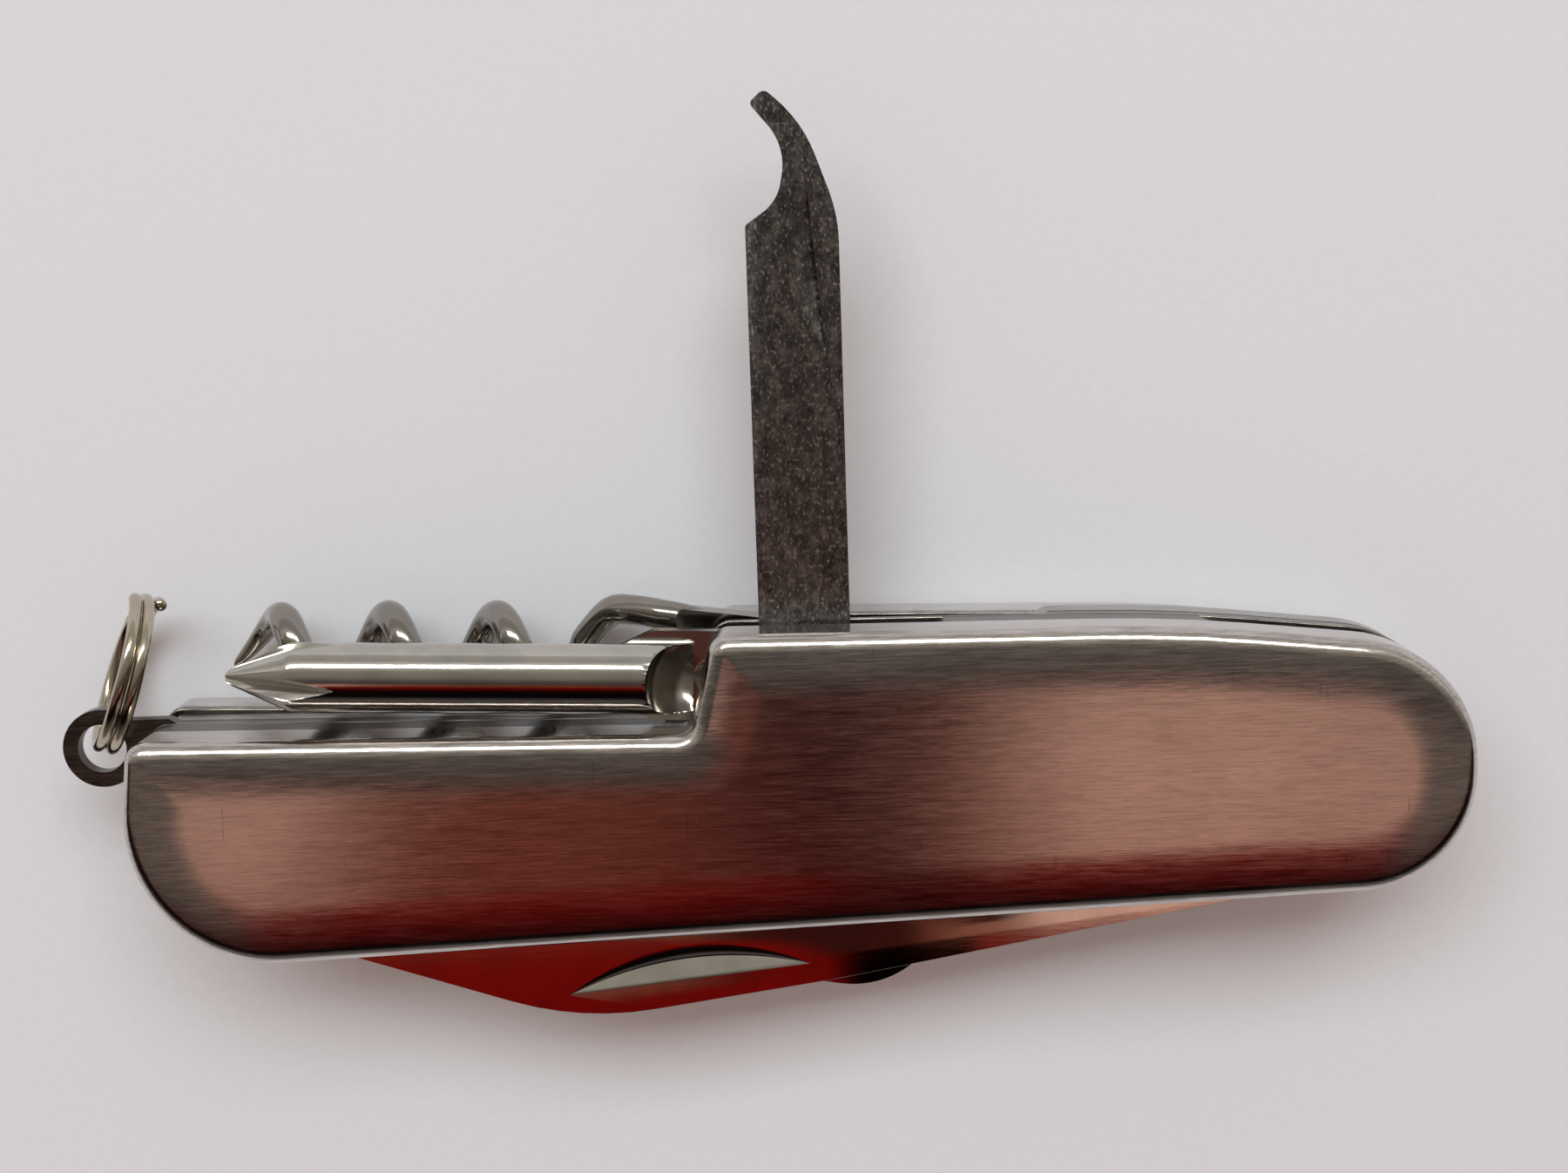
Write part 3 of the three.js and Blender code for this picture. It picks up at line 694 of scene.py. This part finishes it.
def main_blade():
    low, high = layer("main_blade")
    middle = (low + high) / 2
    thick = high - low
    profile = [
        [4.6, 1, 0.5],
        [6.3, 6.5, 1],
        [35.8, 11.6, 100],
        [53.6, 14.1, 22],
        [75.3, 6.9, 0.4],
        [61, -0.9, 30],
        [8, -0.6, 1],
        [4.6, -3, 0.5],
    ]
    root = [
        [1, -1, 0.1],
        [7, -1, 0.1],
        [7, 3, 0.1],
        [1, 3, 0.1],
    ]
    piece = plate(profile, low, high, "main_blade_steel")
    combine(piece, post(BLADE_TANG, low, high), "UNION")
    combine(piece, plate(root, low, high), "UNION")
    grind = math.atan2((thick - EDGE_THICKNESS) / 2, GRIND_HEIGHT)
    for side in (1, -1):
        shoulder = (GRIND_MIDDLE, EDGE_HEIGHT + GRIND_HEIGHT, middle + side * thick / 2)
        place = Matrix.Translation(shoulder)
        place = place @ Matrix.Rotation(side * grind, 4, "X")
        place = place @ Matrix.Translation((0, -1.5 * GRIND_HEIGHT, side * thick / 2))
        combine(piece, block(GRIND_LENGTH, 3 * GRIND_HEIGHT, thick, place))
    combine(piece, post(PIVOT_RADIUS + PIN_GAP, low - 1, high + 1))
    place = Matrix.Translation((46, 11.3, high)) @ Matrix.Rotation(math.radians(186), 4, "Z")
    combine(piece, nail_groove(17, 2.5, 0.65, math.radians(26), place))
    soften(piece, 0.06)
    place = place_tool(BLADE_PIN, math.pi)
    finished(piece, "main_blade", "main_blade", BLADE_STEEL, place)


def bottle_opener():
    low, high = layer("bottle_opener")
    profile = [
        [1, 3.4, 1],
        [24, 1.6, 6],
        [28.5, 1.6, 1],
        [29.5, -3.6, 1.6],
        [35.4, -4.6, 2.4],
        [36.2, 0.6, 1],
        [43, -0.6, 2.5],
        [49.5, -7.6, 0.6],
        [43.2, -12.35, 6.5],
        [36, -11.2, 8],
        [17.5, -4.7, 8],
        [4.6, -4.2, 1],
        [1, -2, 0.5],
    ]
    piece = plate(profile, low, high, "bottle_opener_steel")
    combine(piece, post(OPENER_TANG, low, high), "UNION")
    combine(piece, post(PIVOT_RADIUS + PIN_GAP, low - 1, high + 1))
    soften(piece, 0.15)
    place = place_tool(OPENER_PIN, 0)
    finished(piece, "bottle_opener", "bottle_opener", BLADE_STEEL, place)


def hook_tool():
    low, high = layer("hook_tool")
    half = HOOK_WIDTH / 2
    profile = [
        [0, -half, 0.1],
        [31, -half, 10],
        [37.2, -0.9, 9],
        [39.4, 1.6, 0.5],
        [38.5, 2.6, 0.3],
        [35.6, 0.2, 4],
        [32, 0.9, 3],
        [30.5, half, 0.4],
        [0, half, 0.1],
    ]
    piece = plate(profile, low, high, "hook_tool_steel")
    combine(piece, post(BACK_TOOL_TANG, low, high), "UNION")
    combine(piece, post(BACK_TOOL_PIN_RADIUS + PIN_GAP, low - 1, high + 1))
    place = Matrix.Translation((27.6, -1.55, high)) @ Matrix.Rotation(math.radians(5), 4, "Z")
    combine(piece, nail_groove(11.8, 1.7, 0.5, math.radians(75), place))
    soften(piece, 0.12)
    place = place_tool(BACK_TOOL_PIN, math.pi / 2)
    finished(piece, "hook_tool", "hook_tool", HOOK_STEEL, place)


def flute_cutter(turn):
    """A square bar, edge inwards, that slopes out of the driver's point."""
    place = Matrix.Translation((0, 0, SHAFT_HEIGHT)) @ Matrix.Rotation(turn, 4, "X")
    place = place @ Matrix.Translation((SHAFT_LENGTH, 0, FLUTE_FLOOR))
    place = place @ Matrix.Rotation(math.atan2(SHAFT_RADIUS, FLUTE_LENGTH), 4, "Y")
    place = place @ Matrix.Translation((0, 0, FLUTE_BAR / math.sqrt(2)))
    place = place @ Matrix.Rotation(math.pi / 4, 4, "X")
    return block(2 * FLUTE_LENGTH, FLUTE_BAR, FLUTE_BAR, place)


def scoop_cutter(tang_face):
    """A ball that leaves a hollow ramp from the tang's face up to the crown of the shaft."""
    foot = Vector((SHAFT_START, tang_face))
    crown = Vector((SHAFT_START + SCOOP_LENGTH, SHAFT_HEIGHT + SHAFT_RADIUS))
    chord = crown - foot
    away = Vector((-chord.y, chord.x)).normalized()
    centre = (foot + crown) / 2 + away * math.sqrt(SCOOP_RADIUS**2 - chord.length_squared / 4)
    steps = 48
    angles = [math.pi * (step + 0.5) / steps for step in range(steps)]
    profile = [(-SCOOP_RADIUS * math.cos(a), SCOOP_RADIUS * math.sin(a)) for a in angles]
    return lathe(profile, Matrix.Translation((centre.x, 0, centre.y)), 96)


def phillips_driver():
    low = layer("phillips_driver")[0]
    tang_low = layer("hook_tool")[1] + 0.06
    tang_high = layer("front_spring")[1] - 0.04
    barrel_end = SHAFT_LENGTH - POINT_LENGTH
    rings = 40
    ring_step = (barrel_end - 0.5 - SHAFT_START) / rings
    profile = [(SHAFT_START + ring_step * ring, SHAFT_RADIUS) for ring in range(rings + 1)]
    profile.append((barrel_end, SHAFT_RADIUS - 0.06))
    profile += [(SHAFT_LENGTH - 0.2, POINT_RADIUS + 0.05), (SHAFT_LENGTH, POINT_RADIUS * 0.6)]
    piece = lathe(profile, Matrix.Translation((0, 0, SHAFT_HEIGHT)), 96, "phillips_driver_steel")
    for quarter in range(4):
        combine(piece, flute_cutter(FLUTE_TURN + quarter * math.pi / 2))
    tang = [
        [0, -BACK_TOOL_TANG, 0.1],
        [10.5, -BACK_TOOL_TANG, 1],
        [14, -1.4, 1],
        [14, 1.4, 1],
        [10.5, BACK_TOOL_TANG, 1],
        [0, BACK_TOOL_TANG, 0.1],
    ]
    combine(piece, plate(tang, tang_low, tang_high), "UNION")
    combine(piece, post(BACK_TOOL_TANG, tang_low, tang_high), "UNION")
    combine(piece, scoop_cutter(tang_high))
    combine(piece, post(BACK_TOOL_PIN_RADIUS + PIN_GAP, low - 1, 20))
    soften(piece, 0.05)
    place = place_tool(BACK_TOOL_PIN, math.pi - DRIVER_TILT)
    finished(piece, "phillips_driver", "phillips_driver", ROUND_STEEL, place)


def coil_point(turn):
    """The coil's centre line, counted in turns from its first crest, right-handed."""
    angle = 2 * math.pi * turn
    stretch = TIP_STRETCH * (turn / TIP_TURN) ** 2 if turn < 0 else 0
    return Vector((
        FIRST_CREST - COIL_PITCH * turn + stretch,
        COIL_SIDE - COIL_RADIUS * math.cos(angle),
        COIL_HEIGHT + COIL_RADIUS * math.sin(angle),
    ))


def corkscrew():
    low = layer("back_spring")[0] + 0.04
    high = layer("back_spring")[1] - 0.06
    middle = (low + high) / 2
    per_turn = 24
    first = round(-TIP_TURN * per_turn)
    last = round(COIL_TURNS * per_turn)
    points = [coil_point(step / per_turn) for step in range(first, last + 1)]
    points += [Vector((13.9, -3.25, 3.5)), Vector((12.3, -3.55, 4.7)), Vector((10.2, -3.4, 5.8))]
    points += [Vector((8, -3, middle)), Vector((4, -1.8, middle))]
    full = (high - low) / 2 - 0.02

    def radius_at(share):
        radius = WIRE_RADIUS + (full - WIRE_RADIUS) * min(1, share * 1.1)
        taper = 0.12
        return 0.12 + (radius - 0.12) * math.sqrt(share / taper) if share < taper else radius

    piece = tube("corkscrew_steel", smooth_path(points, 4), radius_at)
    tang = [
        [-1, 2.8, 0.5],
        [-1, -2.8, 0.5],
        [4, -3.5, 3],
        [9, -4.05, 0.5],
        [9, -1.95, 0.5],
        [3.2, 1.4, 3],
    ]
    combine(piece, plate(tang, low, high), "UNION")
    combine(piece, post(BACK_TOOL_TANG, low, high), "UNION")
    combine(piece, post(BACK_TOOL_PIN_RADIUS + PIN_GAP, low - 1, high + 1))
    place = place_tool(BACK_TOOL_PIN, math.pi - CORKSCREW_TILT)
    # The corkscrew takes the darkened polished steel: painted shade for the coil's insides.
    finished(piece, "corkscrew", "corkscrew", SHADE_DARKENED_COIL_STEEL, place)


def split_ring():
    """The ring starts and ends at its far side and passes through the eye at its near side."""
    steps = 192
    path = []
    for step in range(steps + 1):
        share = step / steps
        angle = 2 * math.pi * RING_TURNS * share
        rise = RING_PITCH * RING_TURNS * (share - 0.5)
        path.append(Vector((RING_RADIUS * math.cos(angle), RING_RADIUS * math.sin(angle), rise)))
    piece = tube("split_ring_wire", path, lambda share: RING_WIRE, 24)
    outward = Vector((math.cos(RING_LEAN_OUT), math.sin(RING_LEAN_OUT), 0))
    upright = Vector((math.sin(RING_LEAN_OVER), 0, math.cos(RING_LEAN_OVER)))
    upright = (upright - outward * upright.dot(outward)).normalized()
    axis = outward.cross(upright)
    low, high = layer("key_ring_plate")
    centre = Vector((*EYE, (low + high) / 2)) + outward * math.sqrt(RING_RADIUS**2 - RING_DROP**2)
    centre -= upright * RING_DROP
    place = Matrix.Translation(centre) @ Matrix((outward, upright, axis)).transposed().to_4x4()
    finished(piece, "split_ring", "split_ring", RING_STEEL, place)


# ---- studio ---------------------------------------------------------------------------------------


def camera():
    """A view from above the hook, tilted a little, as a person holds a phone over a table."""
    data = bpy.data.cameras.new("camera")
    data.lens = 52
    data.sensor_width = 36
    data.clip_start = 0.005
    right = Vector((0.99945, -0.03316, 0))
    back = Vector((0.00498, 0.15012, 0.98866)).normalized()
    up = back.cross(right).normalized()
    right = up.cross(back)
    made = bpy.data.objects.new("camera", data)
    standpoint = Vector((0.25, 36.4, 163.3)) * MM
    made.matrix_world = Matrix.Translation(standpoint) @ Matrix((right, up, back)).transposed().to_4x4()
    bpy.context.scene.collection.objects.link(made)
    bpy.context.scene.camera = made


def floor():
    reach = 3  # metres from the middle to each side
    builder = bmesh.new()
    corners = ((-reach, -reach), (reach, -reach), (reach, reach), (-reach, reach))
    builder.faces.new([builder.verts.new((x, y, 0)) for x, y in corners])
    mesh = bpy.data.meshes.new("floor")
    builder.to_mesh(mesh)
    builder.free()
    made = bpy.data.objects.new("floor", mesh)
    bpy.context.scene.collection.objects.link(made)
    material, nodes, shader, place = new_material("paper")
    shader.inputs["Metallic"].default_value = 0
    shader.inputs["Specular IOR Level"].default_value = 0.1
    fibre = nodes.noise(place, 1500.0, 5.0, 0.7)
    link(nodes, nodes.mix(fibre, (0.72, 0.715, 0.72, 1), (0.79, 0.785, 0.79, 1)), shader, "Base Color")
    shader.inputs["Roughness"].default_value = 0.85
    bump(nodes, fibre, shader, 2e-5, 0.4)
    mesh.materials.append(material)


def far_light(name, size, energy, colour, elevation):
    """An area light beyond the tools, a little to the left, that faces them."""
    data = bpy.data.lights.new(name, "AREA")
    data.shape = "RECTANGLE"
    data.size, data.size_y = size
    data.energy = energy
    data.color = colour
    made = bpy.data.objects.new(name, data)
    height = math.radians(elevation)
    side = math.radians(-8)
    distance = 1.1
    level = math.cos(height)
    toward = Vector((math.sin(side) * level, math.cos(side) * level, math.sin(height)))
    made.location = toward * distance
    made.rotation_mode = "QUATERNION"
    made.rotation_quaternion = toward.to_track_quat("Z", "Y")
    bpy.context.scene.collection.objects.link(made)
    return made


def lights():
    """A narrow bright window that the steel mirrors, and the broad soft light that falls on the table."""
    window = far_light("window", (1.1, 0.12), 7.5, (1.0, 0.98, 0.96), 41)
    window.visible_diffuse = False  # only the steel sees it
    glow = far_light("glow", (1.2, 0.45), 8.8, (0.90, 1.02, 1.08), 56)
    glow.visible_glossy = False  # only dull surfaces see it


def surroundings():
    """A pale room with a dark patch overhead, where a person in red leans over the table."""
    world = bpy.data.worlds.new("room")
    bpy.context.scene.world = world
    world.use_nodes = True
    nodes = Nodes(world.node_tree)
    direction = nodes.add("ShaderNodeTexCoord").outputs["Generated"]
    parts = nodes.add("ShaderNodeSeparateXYZ", {"Vector": direction})
    x, y, z = parts.outputs["X"], parts.outputs["Y"], parts.outputs["Z"]
    over = nodes.math("DIVIDE", nodes.math("ARCTAN2", z, y), math.pi)  # 0 beyond the tools, 0.5 overhead
    room = nodes.ramp(
        over,
        [
            (0.0, (0.52, 0.50, 0.47)),
            (0.12, (0.42, 0.40, 0.37)),
            (0.20, (0.75, 0.72, 0.66)),
            (0.28, (0.40, 0.38, 0.33)),
            (0.35, (0.30, 0.27, 0.22)),
            (0.43, (0.26, 0.235, 0.20)),
            (0.50, (0.11, 0.095, 0.085)),
            (0.60, (0.05, 0.012, 0.01)),
            (0.68, (0.004, 0.002, 0.002)),
            (0.80, (0.004, 0.002, 0.002)),
            (0.88, (0.10, 0.09, 0.085)),
            (1.0, (0.22, 0.20, 0.18)),
        ],
    )
    across = nodes.remap(x, -0.5, 0.5, 0, 1)
    end = (0.17, 0.13, 0.11)
    pink = (0.74, 0.42, 0.32)
    rose = (0.34, 0.13, 0.09)
    brown = (0.19, 0.05, 0.03)
    maroon = (0.045, 0.008, 0.006)
    left = [(0.18, end), (0.24, pink), (0.29, pink), (0.305, brown), (0.44, brown), (0.475, maroon)]
    right = [(0.75, pink), (0.82, end)]
    upper = nodes.ramp(across, [*left, (0.588, maroon), (0.598, pink), *right])
    fold = [(0.545, maroon), (0.555, brown), (0.585, rose), (0.605, pink)]
    lower = nodes.ramp(across, [*left, *fold, *right])
    cloth = nodes.mix(nodes.remap(over, 0.570, 0.576, 0, 1), upper, lower)
    red = (0.19, 0.004, 0.003)
    black = (0.0, 0.0, 0.0)
    gap = [(0.510, red), (0.518, black), (0.570, black), (0.578, red)]
    shirt = nodes.ramp(across, [(0.2, end), (0.26, red), *gap, (0.76, red), (0.84, end)])
    shirt = nodes.mix(nodes.remap(over, 0.61, 0.66, 0, 1), shirt, (0.03, 0.001, 0.001, 1))
    person = nodes.mix(nodes.remap(over, 0.593, 0.599, 0, 1), cloth, shirt)
    enter = nodes.remap(over, 0.545, 0.562, 0, 1)
    leave = nodes.remap(over, 0.66, 0.70, 1, 0)
    colour = nodes.mix(nodes.math("MULTIPLY", enter, leave), room, person)
    ray = nodes.add("ShaderNodeLightPath")
    lit = nodes.mix(ray.outputs["Is Diffuse Ray"], colour, (0.44, 0.33, 0.30, 1))
    pale = (0.62, 0.60, 0.59, 1)
    background = world.node_tree.nodes["Background"]
    link(nodes, nodes.mix(ray.outputs["Is Camera Ray"], lit, pale), background, "Color")
    background.inputs["Strength"].default_value = 1.0


# ---- assembly -------------------------------------------------------------------------------------

camera()
floor()
lights()
surroundings()
bpy.context.scene.view_settings.view_transform = "Standard"

scale("front_scale_shell", "front_scale", HANDLE, layer("front_scale")[0], 1)
scale("back_scale_shell", "back_scale", BACK_CORNERS, layer("back_scale")[1], -1)
liners()
key_ring_plate()
springs()
turned_pin("blade_pivot_pin", PIVOT_RADIUS, BLADE_PIN)
turned_pin("opener_pivot_pin", PIVOT_RADIUS, OPENER_PIN)
turned_pin("back_tool_pin", BACK_TOOL_PIN_RADIUS, BACK_TOOL_PIN, HEAD_SPREAD)
turned_pin("spring_pin", SPRING_PIN_RADIUS, SPRING_PIN, HEAD_SPREAD)
for bush_node, bush_centre in (
    ("blade_pin_bush_front", BLADE_PIN),
    ("blade_pin_bush_back", BLADE_PIN),
    ("opener_pin_bush_front", OPENER_PIN),
    ("opener_pin_bush_back", OPENER_PIN),
):
    bush(bush_node, bush_centre)
main_blade()
bottle_opener()
hook_tool()
phillips_driver()
corkscrew()
split_ring()
